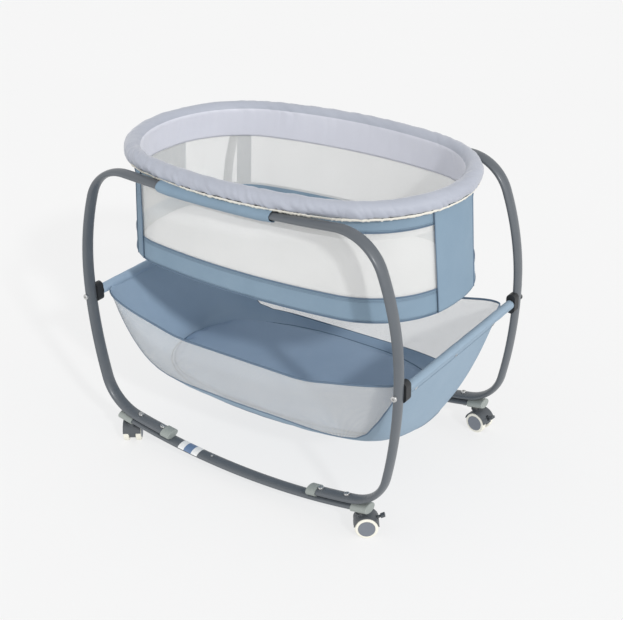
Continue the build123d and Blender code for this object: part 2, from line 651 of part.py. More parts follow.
for name, base in CASTER_BASES.items():
    centre = base.from_local_coords((TRAIL, 0, WHEEL_R))
    axle = Plane(origin=centre, x_dir=base.x_dir, z_dir=-base.y_dir)
    tilt = radians(LEVER_TILT)
    lever_plane = Plane(
        origin=axle.from_local_coords((*PIVOT, 0)),
        x_dir=axle.x_dir * cos(tilt) + axle.y_dir * sin(tilt),
        z_dir=axle.z_dir,
    )

    with BuildPart() as hood:
        with BuildSketch(axle):
            Circle(FENDER_R[1])
            with Locations((0, HOOD_CUTS[0] - CUT_BOX[1] / 2)):
                Rectangle(*CUT_BOX, mode=Mode.SUBTRACT)
        extrude(amount=WEB_HALF, both=True)
        with BuildSketch(axle):
            Circle(WHEEL_R - 5)
            with Locations((0, HOOD_CUTS[1] - CUT_BOX[1] / 2)):
                Rectangle(*CUT_BOX, mode=Mode.SUBTRACT)
        extrude(amount=WEB_HALF, both=True)
        with BuildSketch(axle):
            Circle(FENDER_R[1])
            Circle(FENDER_R[0], mode=Mode.SUBTRACT)
            with Locations((0, HOOD_CUTS[2] - CUT_BOX[1] / 2)):
                Rectangle(*CUT_BOX, mode=Mode.SUBTRACT)
        extrude(amount=WHEEL_OUTER, both=True)
        with BuildSketch(base.offset(WHEEL_R + 2)):
            Circle(WEB_HALF - 0.2)
        extrude(amount=BOSS_TOP_Z - WHEEL_R - 2)
        with BuildSketch(base.offset(BOSS_TOP_Z - BOSS_FLANGE[1])):
            Circle(BOSS_FLANGE[0])
        extrude(amount=BOSS_FLANGE[1])
        with BuildSketch(axle):
            Circle(AXLE_R + RUNNING)
            with Locations(PIVOT):
                Circle(LEVER_PIN_HOLE_R)
        extrude(amount=WEB_HALF + 1, both=True, mode=Mode.SUBTRACT)
        with BuildSketch(base.offset(STEM_Z[0] - 0.5)):
            Circle(STEM_R + RUNNING)
        extrude(amount=20, mode=Mode.SUBTRACT)
        with BuildSketch(lever_plane):
            Circle(LEVER_HUB_HOLE_R)
            with BuildLine():
                sweep_down = radians(LEVER_TRAVEL + 8)
                sweep_up = radians(10)
                far_low = (SLOT_LENGTH * cos(sweep_down), -3 - SLOT_LENGTH * sin(sweep_down))
                far_high = (SLOT_LENGTH * cos(sweep_up), 3 + SLOT_LENGTH * sin(sweep_up))
                Polyline((-1, -3), far_low, far_high, (-1, 3), close=True)
            make_face()
        extrude(amount=SLOT_HALF, both=True, mode=Mode.SUBTRACT)
    keep(hood, f"caster_{name}_hood")

    with BuildPart() as lever:
        for radius, half in ((LEVER_HUB_R, SLOT_HALF - 0.3), (LEVER_PIN_R, WEB_HALF - 0.6)):
            with BuildSketch(lever_plane):
                Circle(radius)
            extrude(amount=half, both=True)
        with BuildSketch(lever_plane):
            with Locations((LEVER_REACH - KNOB[0] / 2, 0)):
                Rectangle(KNOB[0], KNOB[1])
        extrude(amount=KNOB[2], both=True)
        fillet(lever.edges().filter_by(GeomType.LINE), 1.2)
        with BuildSketch(lever_plane):
            with Locations((LEVER_REACH / 2 - 3, 0)):
                Rectangle(LEVER_REACH - 6, LEVER_ARM[0])
        extrude(amount=LEVER_ARM[1], both=True)
    keep(lever, f"caster_{name}_brake_lever")

    with BuildPart() as tyres:
        for side in (-1, 1):
            with BuildSketch(axle.offset(side * WHEEL_INNER)):
                Circle(WHEEL_R)
                Circle(HUB_R, mode=Mode.SUBTRACT)
            extrude(amount=side * (WHEEL_OUTER - WHEEL_INNER))
        rings = tyres.edges().filter_by(GeomType.CIRCLE)
        fillet(rings.filter_by(lambda edge: abs(edge.radius - WHEEL_R) < 0.01), 3.0)
    keep(tyres, f"caster_{name}_tyres")

    with BuildPart() as hubs:
        for side in (-1, 1):
            with BuildSketch(axle.offset(side * (WHEEL_INNER + 0.3))):
                Circle(HUB_R - 0.05)
            extrude(amount=side * (WHEEL_OUTER - WHEEL_INNER + 0.4))
            with BuildSketch(axle):
                Circle(AXLE_R)
            extrude(amount=side * AXLE_HALF, mode=Mode.SUBTRACT)
    keep(hubs, f"caster_{name}_hubs")

    with BuildPart() as axle_pin:
        with BuildSketch(axle):
            Circle(AXLE_R)
        extrude(amount=AXLE_HALF, both=True)
    keep(axle_pin, f"caster_{name}_axle")
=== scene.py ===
"""Looks of the rocking baby crib: fabrics, finishes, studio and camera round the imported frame."""

from math import cos, pi, radians, sin

import bpy
import numpy as np
from mathutils import Matrix, Vector, noise


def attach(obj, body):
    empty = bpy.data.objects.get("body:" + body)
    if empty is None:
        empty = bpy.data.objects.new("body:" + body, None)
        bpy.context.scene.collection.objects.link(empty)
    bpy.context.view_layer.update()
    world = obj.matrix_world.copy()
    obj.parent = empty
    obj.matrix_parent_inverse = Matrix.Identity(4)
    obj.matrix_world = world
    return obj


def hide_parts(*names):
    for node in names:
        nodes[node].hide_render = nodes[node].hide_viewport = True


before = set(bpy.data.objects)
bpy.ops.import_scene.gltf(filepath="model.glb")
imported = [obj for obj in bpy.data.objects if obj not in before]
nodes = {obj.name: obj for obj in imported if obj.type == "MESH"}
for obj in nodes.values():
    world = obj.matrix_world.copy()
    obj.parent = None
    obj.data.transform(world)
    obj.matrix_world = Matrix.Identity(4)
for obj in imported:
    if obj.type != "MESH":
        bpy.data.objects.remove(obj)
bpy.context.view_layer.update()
scene = bpy.context.scene

# ---------------------------------------------------------------- sizes, in metres
RIM = (0.396, 0.251, 0.225, 14.0)      # half length, half width, corner radius, lean in degrees
RIM_Z, COVER_R = 0.7107, 0.0193
SKIRT_LOW = (0.390, 0.2292, 0.196, 11.0)
SKIRT_LOW_Z = 0.646
TUB_TOP_Z, TUB_TOP = 0.6905, (0.392, 0.2335, 0.200, 11.0)
TUB_LOW_Z, TUB_LOW = 0.469, (0.404, 0.2265, 0.188, 8.0)
BAND_TOP_Z, BAND_LOW_Z = 0.662, 0.522
END_HALF = 0.075
STRIP_X, STRIP_HALF = 0.300, 0.016     # the narrow upright strips beside the left end
BAR_X, BAR_Z = 0.4142, 0.3686
LOOP_Y = 0.2527


# ---------------------------------------------------------------- shapes
def oval(a, b, corner, lean, counts):
    """Points and outward directions round eight tangent arcs, from the front side's left end.

    counts holds the points on each side, corner and end arc.
    """
    lean = radians(lean)
    s, c = sin(lean), cos(lean)
    p, q = a - corner * (c - s), b - corner * (c - s)
    spread = s * s - (1 - c) ** 2
    side, end = (p * s - q * (1 - c)) / spread, (q * s - p * (1 - c)) / spread
    arcs = ((side, 2 * lean, counts[0]), (corner, pi / 2 - 2 * lean, counts[1]))
    arcs += ((end, 2 * lean, counts[2]), (corner, pi / 2 - 2 * lean, counts[1]))
    x, y, heading, points, outward = -side * s, -b + side * (1 - c), -lean, [], []
    for radius, turn, count in arcs * 2:
        cx, cy = x - radius * sin(heading), y + radius * cos(heading)
        for k in range(count):
            h = heading + turn * k / count
            points.append((cx + radius * sin(h), cy - radius * cos(h)))
            outward.append((sin(h), -cos(h)))
        heading += turn
        x, y = cx + radius * sin(heading), cy - radius * cos(heading)
    return np.array(points), np.array(outward)


def lift(flat, z):
    """Adds heights to points in the plane."""
    return np.column_stack((flat, np.broadcast_to(z, len(flat))))


def rough(points, size, seed, stretch=(1.0, 1.0, 1.0)):
    """Smooth noise between -1 and 1 at each point, with features about that size."""
    scaled = np.asarray(points).reshape(-1, 3) / size * np.array(stretch) + seed * 17.3
    return np.array([noise.noise(Vector(p)) for p in scaled])


def mesh_piece(name, points, faces, material):
    """A new object from points and faces, with one material."""
    mesh = bpy.data.meshes.new(name)
    mesh.from_pydata([tuple(p) for p in points], [], faces)
    mesh.polygons.foreach_set("use_smooth", [True] * len(mesh.polygons))
    mesh.materials.append(material)
    mesh.update()
    piece = bpy.data.objects.new(name, mesh)
    scene.collection.objects.link(piece)
    return piece


def quads(high, wide, closed):
    """Faces between the rows of a block of points."""
    return [
        (r * wide + k, r * wide + (k + 1) % wide, (r + 1) * wide + (k + 1) % wide, (r + 1) * wide + k)
        for r in range(high - 1)
        for k in range(wide if closed else wide - 1)
    ]


def grid(name, rows, material, closed=False, thickness=0.0, inward=True):
    """A sheet through rows of points, with its lengths in metres as UV."""
    rows = np.asarray(rows)
    high, wide = rows.shape[:2]
    spans = wide if closed else wide - 1
    piece = mesh_piece(name, rows.reshape(-1, 3), quads(high, wide, closed), material)
    middle = rows[high // 2]
    step = np.linalg.norm(np.diff(np.vstack((middle, middle[:1])), axis=0), axis=1)
    along = np.concatenate(([0.0], np.cumsum(step)))
    climb = np.linalg.norm(np.diff(rows, axis=0), axis=2).mean(axis=1)
    up = np.concatenate(([0.0], np.cumsum(climb)))
    layer = piece.data.uv_layers.new(name="cloth")
    values = [
        (along[k + dk], up[r + dr])
        for r in range(high - 1)
        for k in range(spans)
        for dk, dr in ((0, 0), (1, 0), (1, 1), (0, 1))
    ]
    layer.data.foreach_set("uv", np.array(values, np.float32).ravel())
    if thickness:
        solid = piece.modifiers.new("thickness", "SOLIDIFY")
        solid.thickness = thickness
        solid.offset = -1.0 if inward else 1.0
        solid.use_even_offset = True
    return piece


def tube(name, line, radius, material, closed=False, flat=1.0, outward=None, around=8):
    """A round or flattened band along a line of points; outward tells where its thin side faces."""
    line = np.asarray(line, float)
    ahead = np.roll(line, -1, axis=0) - np.roll(line, 1, axis=0)
    if not closed:
        ahead[0], ahead[-1] = line[1] - line[0], line[-1] - line[-2]
    ahead /= np.linalg.norm(ahead, axis=1)[:, None]
    if outward is None:
        outward = np.tile((0.0, 0.0, 1.0), (len(line), 1))
    across = np.cross(ahead, outward)
    across /= np.linalg.norm(across, axis=1)[:, None]
    out = np.cross(across, ahead)
    angles = np.arange(around) * 2 * pi / around
    rings = [line + radius * (cos(t) * across + flat * sin(t) * out) for t in angles]
    points = np.stack(rings, axis=1).reshape(-1, 3)
    count = len(line)
    ring_starts = [(k * around, (k + 1) % count * around) for k in range(count if closed else count - 1)]
    faces = [
        (here + j, here + (j + 1) % around, there + (j + 1) % around, there + j)
        for here, there in ring_starts
        for j in range(around)
    ]
    if not closed:
        faces += [tuple(range(around))[::-1], tuple(range((count - 1) * around, count * around))]
    return mesh_piece(name, points, faces, material)


def resample(line, pitch, closed=False):
    """Points at an even pitch along a line, with the unit direction at each."""
    line = np.asarray(line, float)
    if closed:
        line = np.vstack((line, line[:1]))
    step = np.linalg.norm(np.diff(line, axis=0), axis=1)
    along = np.concatenate(([0.0], np.cumsum(step)))
    places = np.arange(pitch / 2, along[-1], pitch)
    made = np.column_stack([np.interp(places, along, line[:, k]) for k in range(3)])
    later = np.column_stack([np.interp(places + pitch * 0.4, along, line[:, k]) for k in range(3)])
    earlier = np.column_stack([np.interp(places - pitch * 0.4, along, line[:, k]) for k in range(3)])
    ahead = later - earlier
    return made, ahead / np.linalg.norm(ahead, axis=1)[:, None]


def columns(rows, keep):
    """The runs of columns where keep is true, each as its own sheet of rows."""
    count = rows.shape[1]
    first = int(np.argmin(keep))
    order = [(first + k) % count for k in range(count)]
    runs, run = [], []
    for k in order:
        if keep[k]:
            run.append(k)
        elif run:
            runs.append(run)
            run = []
    if run:
        runs.append(run)
    return [rows[:, run] for run in runs]


def join_pieces(name, pieces):
    """One object from several."""
    bpy.ops.object.select_all(action="DESELECT")
    for piece in pieces:
        piece.select_set(True)
    bpy.context.view_layer.objects.active = pieces[0]
    bpy.ops.object.join()
    pieces[0].name = name
    pieces[0].data.name = name
    return pieces[0]


def closed_pad(name, line, z_low, z_high, edge, material):
    """A flat pad with rounded rims, as a closed mesh."""
    rows, layers, shares = [], 6, (0.05, 0.3, 0.6, 0.85)
    size = np.linalg.norm(line, axis=1)[:, None]
    for side in (-1, 1):
        for k in range(layers + 1):
            t = k / layers if side < 0 else 1 - k / layers
            inset, rise = edge * (1 - sin(t * pi / 2)), edge * (1 - cos(t * pi / 2))
            height = z_low + rise if side < 0 else z_high - rise
            rows.append(lift(line * (1 - inset / size), height))
    below = [lift(rows[0][:, :2] * s, z_low) for s in shares]
    above = [lift(rows[-1][:, :2] * s, z_high) for s in shares[::-1]]
    rows = below + rows + above
    wide = len(line)
    faces = quads(len(rows), wide, True)
    faces += [tuple(range(wide))[::-1], tuple(range((len(rows) - 1) * wide, len(rows) * wide))]
    return mesh_piece(name, np.concatenate(rows), faces, material)


# Along one stitch: share of its length, share of its width.
STITCH_PROFILE = ((-0.5, 0.3), (-0.3, 1.0), (0.3, 1.0), (0.5, 0.3))


def stitches(name, lines, material, pitch=0.0042, length=0.0028, width=0.0004, closed=False):
    """Rows of short raised threads; each line is (points, outward at each point)."""
    points, faces = [], []
    for line, outward in lines:
        spots, ahead = resample(line, pitch, closed)
        near = [int(np.argmin(((line - p) ** 2).sum(1))) for p in spots]
        for spot, direction, k in zip(spots, ahead, near):
            out = outward[k] / np.linalg.norm(outward[k])
            across = np.cross(direction, out)
            base = len(points)
            for along, size in STITCH_PROFILE:
                middle = spot + direction * along * length + out * width * 0.4
                points += [middle + across * width * size, middle + out * width * size]
                points += [middle - across * width * size, middle - out * width * size]
            for ring in range(3):
                low = base + 4 * ring
                faces += [
                    (low + j, low + (j + 1) % 4, low + 4 + (j + 1) % 4, low + 4 + j) for j in range(4)
                ]
            faces += [(base + 3, base + 2, base + 1, base), (base + 12, base + 13, base + 14, base + 15)]
    return mesh_piece(name, points, faces, material)


SWELL_FRAMES, SWELL_PRESSURE, SWELL_CAP = 20, 3.0, 0.005


def swell(piece, voxel, pinned_below):
    """Fills a closed pad with air: remesh, a short cloth run, capped movement, one subdivision."""
    bpy.context.view_layer.objects.active = piece
    remesh = piece.modifiers.new("even", "REMESH")
    remesh.mode, remesh.voxel_size = "VOXEL", voxel
    bpy.ops.object.modifier_apply(modifier="even")
    before = np.array([v.co for v in piece.data.vertices])
    held = piece.vertex_groups.new(name="held")
    held.add([int(k) for k in np.nonzero(before[:, 2] < pinned_below)[0]], 1.0, "REPLACE")
    settings = piece.modifiers.new("air", "CLOTH").settings
    settings.use_pressure = True
    settings.uniform_pressure_force = SWELL_PRESSURE
    settings.effector_weights.gravity = 0.0
    settings.quality = 5
    settings.vertex_group_mass = "held"
    scene.frame_start, scene.frame_end = 1, SWELL_FRAMES
    for number in range(1, SWELL_FRAMES + 1):
        scene.frame_set(number)
    bpy.ops.object.modifier_apply(modifier="air")
    after = np.array([v.co for v in piece.data.vertices])
    move = after - before
    far = np.linalg.norm(move, axis=1)
    after = before + move * (np.minimum(far, SWELL_CAP) / np.maximum(far, 1e-9))[:, None]
    piece.data.vertices.foreach_set("co", after.astype(np.float32).ravel())
    scene.frame_set(1)
    piece.data.polygons.foreach_set("use_smooth", [True] * len(piece.data.polygons))
    finer = piece.modifiers.new("finer", "SUBSURF")
    finer.levels = finer.render_levels = 1
    bpy.ops.object.modifier_apply(modifier="finer")
    piece.data.update()
    return piece


# ---------------------------------------------------------------- materials
def linear(*rgb):
    """A colour given as 0-255 screen values, in the linear values that shaders take."""

    def one(v):
        v /= 255
        return v / 12.92 if v <= 0.04045 else ((v + 0.055) / 1.055) ** 2.4

    return (*map(one, rgb), 1.0)


def link(tree, value, socket):
    """Sets a socket to a value, or joins it to another socket."""
    if isinstance(value, bpy.types.NodeSocket):
        tree.links.new(value, socket)
    elif value is not None:
        socket.default_value = value


def add(tree, kind, *inputs, **settings):
    """A node with its settings and, in order, its inputs; None leaves an input as it is."""
    made = tree.nodes.new("ShaderNode" + kind)
    for name, value in settings.items():
        setattr(made, name, value)
    for socket, value in zip(made.inputs, inputs):
        link(tree, value, socket)
    return made


def math(tree, operation, *inputs):
    """The result of one sum on numbers or sockets."""
    return add(tree, "Math", *inputs, operation=operation).outputs[0]


def tint(tree, factor, low, high):
    """A colour between two, by a factor from 0 to 1."""
    ramp = add(tree, "ValToRGB", factor)
    ramp.color_ramp.elements[0].color, ramp.color_ramp.elements[1].color = low, high
    return ramp.outputs[0]


def noise_node(tree, where, scale, detail=3.0, roughness=0.5):
    """A smooth random value in space, with features smaller as scale grows."""
    made = add(tree, "TexNoise")
    link(tree, where, made.inputs["Vector"])
    for name, value in (("Scale", scale), ("Detail", detail), ("Roughness", roughness)):
        made.inputs[name].default_value = value
    return made.outputs[0]


def start(name, **sockets):
    """A material, its tree and its shader, with fixed values set on the shader."""
    material = bpy.data.materials.new(name)
    material.use_nodes = True
    tree = material.node_tree
    shader = tree.nodes["Principled BSDF"]
    for socket, value in sockets.items():
        shader.inputs[socket.replace("_", " ")].default_value = value
    return material, tree, shader


def bump(tree, shader, height, distance):
    """Raises the surface by a height map; distance is in metres."""
    made = add(tree, "Bump")
    made.inputs["Strength"].default_value = 1.0
    made.inputs["Distance"].default_value = distance
    link(tree, height, made.inputs["Height"])
    tree.links.new(made.outputs[0], shader.inputs["Normal"])


def hard(name, low, high, roughness, grain, depth, spread=0.08, patch=14.0, **sockets):
    """Paint, plastic or metal: fine grain in the bump, slow change in the colour and the gloss."""
    material, tree, shader = start(name, **sockets)
    where = add(tree, "TexCoord").outputs["Object"]
    slow = noise_node(tree, where, patch, 4.0)
    fine = noise_node(tree, where, grain, 2.0)
    both = math(tree, "ADD", math(tree, "MULTIPLY", slow, 0.7), math(tree, "MULTIPLY", fine, 0.3))
    link(tree, tint(tree, both, linear(*low), linear(*high)), shader.inputs["Base Color"])
    gloss = math(tree, "ADD", math(tree, "MULTIPLY", slow, spread), roughness - spread / 2)
    link(tree, gloss, shader.inputs["Roughness"])
    bump(tree, shader, fine, depth)
    return material


def threads(tree, pitch):
    """Height of a plain weave from the cloth's UV, for threads at that pitch."""
    where = add(tree, "UVMap", uv_map="cloth").outputs[0]
    parts = add(tree, "SeparateXYZ", where)
    turn = 2 * pi / pitch
    u = math(tree, "MULTIPLY", parts.outputs[0], turn)
    v = math(tree, "MULTIPLY", parts.outputs[1], turn)
    warp = math(tree, "ABSOLUTE", math(tree, "SINE", math(tree, "MULTIPLY", u, 0.5)))
    weft = math(tree, "ABSOLUTE", math(tree, "SINE", math(tree, "MULTIPLY", v, 0.5)))
    sines = [math(tree, "SINE", math(tree, "MULTIPLY", way, 0.5)) for way in (u, v)]
    over = math(tree, "GREATER_THAN", math(tree, "MULTIPLY", *sines), 0.0)
    under = math(tree, "SUBTRACT", 1.0, over)
    return math(tree, "ADD", math(tree, "MULTIPLY", warp, over), math(tree, "MULTIPLY", weft, under))


def cloth(name, low, high, roughness=0.8, pitch=0.0012, depth=0.00012, uv=True, **sockets):
    """Woven cloth: threads, a slow change of shade and small creases."""
    material, tree, shader = start(name, Roughness=roughness, **sockets)
    where = add(tree, "TexCoord").outputs["Object"]
    slow = noise_node(tree, where, 9.0, 4.0, 0.6)
    fine = noise_node(tree, where, 420.0, 2.0)
    mixed = math(tree, "ADD", math(tree, "MULTIPLY", slow, 0.75), math(tree, "MULTIPLY", fine, 0.25))
    if uv:
        weave = threads(tree, pitch)
        mixed = math(tree, "ADD", math(tree, "MULTIPLY", mixed, 0.8), math(tree, "MULTIPLY", weave, 0.2))
        height = math(tree, "ADD", weave, math(tree, "MULTIPLY", fine, 0.6))
    else:
        height = fine
    link(tree, tint(tree, mixed, linear(*low), linear(*high)), shader.inputs["Base Color"])
    bump(tree, shader, height, depth)
    return material


def net(name, low, high, pitch, hole, see_through):
    """Knitted net: rows of round holes, staggered, in a slightly uneven cloth."""
    material, tree, shader = start(name, Roughness=0.75)
    where = add(tree, "UVMap", uv_map="cloth").outputs[0]
    parts = add(tree, "SeparateXYZ", where)
    row = math(tree, "DIVIDE", parts.outputs[1], pitch * 0.866)
    column = math(tree, "DIVIDE", parts.outputs[0], pitch)
    along = math(tree, "ADD", column, math(tree, "MULTIPLY", row, 0.5))
    cell = add(tree, "TexVoronoi", add(tree, "CombineXYZ", along, row).outputs[0], voronoi_dimensions="2D")
    cell.inputs["Scale"].default_value = 1.0
    cell.inputs["Randomness"].default_value = 0.0
    edge = add(tree, "MapRange", cell.outputs["Distance"], hole - 0.09, hole + 0.09, see_through, 1.0)
    slow = noise_node(tree, add(tree, "TexCoord").outputs["Object"], 12.0, 3.0)
    link(tree, tint(tree, slow, linear(*low), linear(*high)), shader.inputs["Base Color"])
    link(tree, edge.outputs[0], shader.inputs["Alpha"])
    bump(tree, shader, cell.outputs["Distance"], 0.0004)
    return material


TUBE = hard(
    "powder_coat", (74, 80, 87), (92, 97, 102), 0.42, 900.0, 0.00005, Coat_Weight=0.25, Coat_Roughness=0.2
)
CAP = hard("cap_plastic", (134, 141, 138), (154, 160, 156), 0.5, 1400.0, 0.00006)
STEEL = hard("zinc_steel", (176, 177, 178), (214, 214, 212), 0.3, 600.0, 0.00003, Metallic=1.0)
SPRING = hard("spring_steel", (120, 122, 126), (160, 160, 158), 0.35, 700.0, 0.00003, Metallic=1.0)
BLACK = hard("black_plastic", (26, 28, 31), (40, 42, 45), 0.5, 1300.0, 0.00008)
CASTER = hard("caster_plastic", (70, 75, 80), (88, 92, 96), 0.48, 1300.0, 0.00008)
TYRE = hard("cream_tyre", (222, 219, 206), (240, 238, 228), 0.62, 1500.0, 0.00006)
HUB = hard("hub_plastic", (104, 110, 120), (124, 129, 137), 0.45, 1300.0, 0.00006)
BOARD = hard("fibre_board", (150, 120, 84), (182, 152, 112), 0.85, 500.0, 0.0001)
BLUE = cloth("blue_cloth", (110, 134, 154), (138, 159, 176))
# Lighter copy of the blue cloth for the basket's floor pad: painted light offsetting the shade inside the
# basket.
LIT_PAD_BLUE = cloth("blue_pad_cloth_painted_light", (136, 158, 182), (158, 178, 200), uv=False)
LIGHT_BLUE = cloth("light_blue_cloth", (128, 150, 169), (152, 171, 187))
# Lighter copy of the sling cloth for its inner faces: painted light offsetting the shade inside the
# basket.
LIT_BASKET_INSIDE = cloth("basket_inside_painted_light", (142, 164, 186), (164, 184, 203), uv=False)
PIPING = cloth("dark_piping", (84, 104, 124), (104, 124, 144), uv=False)
THREAD = cloth("thread", (78, 96, 116), (104, 122, 140), uv=False)
SATIN_WEAVE = {"pitch": 0.0007, "depth": 0.00004}
# Darker copy of the rim satin for the outer cover: painted shade on the near rim.
SHADED_RIM_SATIN = cloth(
    "rim_satin", (152, 157, 169), (180, 184, 195),
    roughness=0.5, Sheen_Weight=0.4, Sheen_Roughness=0.35, **SATIN_WEAVE,
)
# Lighter copy of the same satin for the inner skirt: painted light.
LIT_SKIRT_SATIN = cloth(
    "skirt_satin_painted_light", (198, 200, 210), (218, 219, 228), roughness=0.55, Sheen_Weight=0.3, **SATIN_WEAVE,
)
CREAM = cloth("elastic_hem", (214, 210, 198), (240, 237, 228), roughness=0.85, uv=False)
FOAM = cloth("foam", (196, 196, 190), (224, 224, 218), roughness=0.95, uv=False, depth=0.0003)
WHITE = cloth("mattress_cloth", (222, 224, 228), (240, 241, 243), uv=False)
WHITE_NET = net("white_net", (216, 217, 215), (226, 226, 224), 0.0022, 0.33, 0.25)
GREY_NET = net("grey_net", (222, 222, 220), (234, 234, 232), 0.0026, 0.40, 0.06)


LABEL_BAND = (-0.14, 0.011)            # middle and half width of the band, along X


def sticker_material():
    """A plain pale label with one muted band."""
    material, tree, shader = start("plain_sticker", Roughness=0.35)
    where = add(tree, "TexCoord").outputs["Object"]
    x = add(tree, "SeparateXYZ", where).outputs[0]
    off = math(tree, "ABSOLUTE", math(tree, "SUBTRACT", x, LABEL_BAND[0]))
    band = math(tree, "LESS_THAN", off, LABEL_BAND[1])
    speckle = noise_node(tree, where, 300.0, 2.0)
    pale = tint(tree, speckle, linear(214, 216, 218), linear(238, 238, 236))
    dark = tint(tree, speckle, linear(88, 112, 148), linear(104, 128, 160))
    mix = add(tree, "Mix", data_type="RGBA")
    link(tree, band, mix.inputs[0])
    link(tree, pale, mix.inputs[6])
    link(tree, dark, mix.inputs[7])
    link(tree, mix.outputs[2], shader.inputs["Base Color"])
    bump(tree, shader, speckle, 0.00003)
    return material


STICKER = sticker_material()
FINISHES = {
    TUBE: ("side_loop", "rocker_front", "rocker_rear", "cross_bar", "rim_tube"),
    CAP: ("loop_end_caps", "rocker_end_caps"),
    STEEL: (
        "rocker_bolts", "rocker_nuts", "spring_button", "bar_bolts", "rim_screws", "sleeve_snaps",
        "caster_stems",
    ),
    SPRING: ("button_spring",),
    STICKER: ("stripe_sticker",),
    BLACK: ("bar_brackets", "rim_saddles"),
    BOARD: ("floor_board",),
}
CASTER_FINISHES = {                    # by the ending of the node's name
    CASTER: ("_hood", "_brake_lever"),
    TYRE: ("_tyres",),
    HUB: ("_hubs",),
    STEEL: ("_axle",),
}
for name, node in nodes.items():
    found = [material for material, starts in FINISHES.items() if name.startswith(starts)]
    if name.startswith("caster_"):
        found += [material for material, endings in CASTER_FINISHES.items() if name.endswith(endings)]
    for material in found:
        node.data.materials.clear()
        node.data.materials.append(material)


def settle(piece, slot, *replaced):
    """Rides on the frame and stands for CAD nodes, which it hides; slot is not used."""
    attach(piece, "frame")
    if replaced:
        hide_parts(*replaced)
    return piece


# ---------------------------------------------------------------- padded rim
RIM_COUNTS = (320, 200, 60)
TIGHT_SPOTS = ((-0.20, 0.10), (0.09, 0.08))   # x and spread of the places where the elastic pulls harder
COVER_EDGE, COVER_STEPS, SKIRT_STEPS = radians(-42), 26, 12
# From this row of faces on, the cover takes the lighter satin copy, which is painted light on the inner
# skirt.
PAINTED_LIGHT_SKIRT_FROM = 24                        # the rows of faces from here on are the inner skirt's
HEM_ANGLE, HEM_LOW_ANGLE, HEM_STEPS = radians(-37), radians(-74), 6
COVER_INSET, FOAM_INSET, FOAM_STEPS = 0.0004, 0.0048, 24
GATHER_DEPTH, WRINKLE_DEPTH = (0.0008, 0.0026), (0.0006, 0.0010)   # least depth, and what gathering adds
COVER_TUCK, COVER_CLOTH = 0.0016, 0.0007
HEM_RIDGE, HEM_BULGE, HEM_FLARE, HEM_CLOTH = 0.0016, 0.0018, 0.0008, 0.0008
rim_line, rim_out = oval(*RIM, counts=RIM_COUNTS)
skirt_line, _ = oval(*SKIRT_LOW, counts=RIM_COUNTS)
rim_step = np.linalg.norm(np.diff(np.vstack((rim_line, rim_line[:1])), axis=0), axis=1)
rim_along = np.concatenate(([0.0], np.cumsum(rim_step)))[:-1]
tight = sum(np.exp(-(((rim_line[:, 0] - x) / spread) ** 2)) for x, spread in TIGHT_SPOTS)
loose = 0.35 + 0.35 * np.clip(1.8 * rough(lift(rim_line, 0.0), 0.16, 3), -1, 1)
gather = np.clip(loose + 0.8 * tight * (rim_line[:, 1] < 0), 0, 1)


def rim_row(angle, radius):
    """Points round the rim at an angle above its outward side."""
    flat = rim_line + rim_out * np.broadcast_to(radius * np.cos(angle), len(rim_line))[:, None]
    return np.column_stack((flat, RIM_Z + np.broadcast_to(radius * np.sin(angle), len(rim_line))))


def folds(angle, seed, pitch=0.013, slant=0.012):
    """Long creases that run up from the hem and lean along the rim."""
    turn = 2 * pi * rim_along / (rim_along[-1] + rim_step[-1])
    ring = 0.9 * (rim_along[-1] / (2 * pi * pitch))
    turned = turn + slant * angle / 0.33
    swing = np.column_stack((np.cos(turned) * ring, np.sin(turned) * ring, turn * 0 + angle * 0.5))
    raw = np.array([noise.noise(Vector(p) + Vector((0, 0, seed * 11.7))) for p in swing])
    return np.abs(raw) * 2.4 - 0.5


rim_rows = []
for step in range(COVER_STEPS + 1):
    angle = COVER_EDGE + (pi - COVER_EDGE) * step / COVER_STEPS
    pull = max(0.0, 1 - (angle - COVER_EDGE) / radians(150)) ** 1.3
    ripple = folds(angle, 1) * (GATHER_DEPTH[0] + GATHER_DEPTH[1] * gather) * (0.10 + 0.90 * pull)
    wrinkle = folds(angle, 2, pitch=0.030, slant=0.03)
    ripple += wrinkle * (WRINKLE_DEPTH[0] + WRINKLE_DEPTH[1] * gather)
    tuck = COVER_TUCK * max(0.0, 1 - (step / 3.0))
    rim_rows.append(rim_row(angle, COVER_R - COVER_INSET + ripple - tuck))
top_row = rim_rows[-1]
for step in range(1, SKIRT_STEPS + 1):
    t = step / SKIRT_STEPS
    low_row = lift(skirt_line, SKIRT_LOW_Z)
    row = top_row * (1 - t) + low_row * t
    wave = rough(row, 0.05, 5, (1, 1, 0.3)) * 0.0007 * sin(pi * t)
    row[:, :2] += rim_out * wave[:, None]
    rim_rows.append(row)
rim_cover = grid("rim_cover_cloth", rim_rows, SHADED_RIM_SATIN, closed=True, thickness=COVER_CLOTH)
settle(rim_cover, "rim_satin", "rim_cover")
# The skirt rows take the lighter satin copy: painted light on the inner skirt, painted shade on the darker
# outer cover.
rim_cover.data.materials.append(LIT_SKIRT_SATIN)
face_rows = np.arange(len(rim_cover.data.polygons)) // len(rim_line)
rim_cover.data.polygons.foreach_set("material_index", [int(row >= PAINTED_LIGHT_SKIRT_FROM) for row in face_rows])

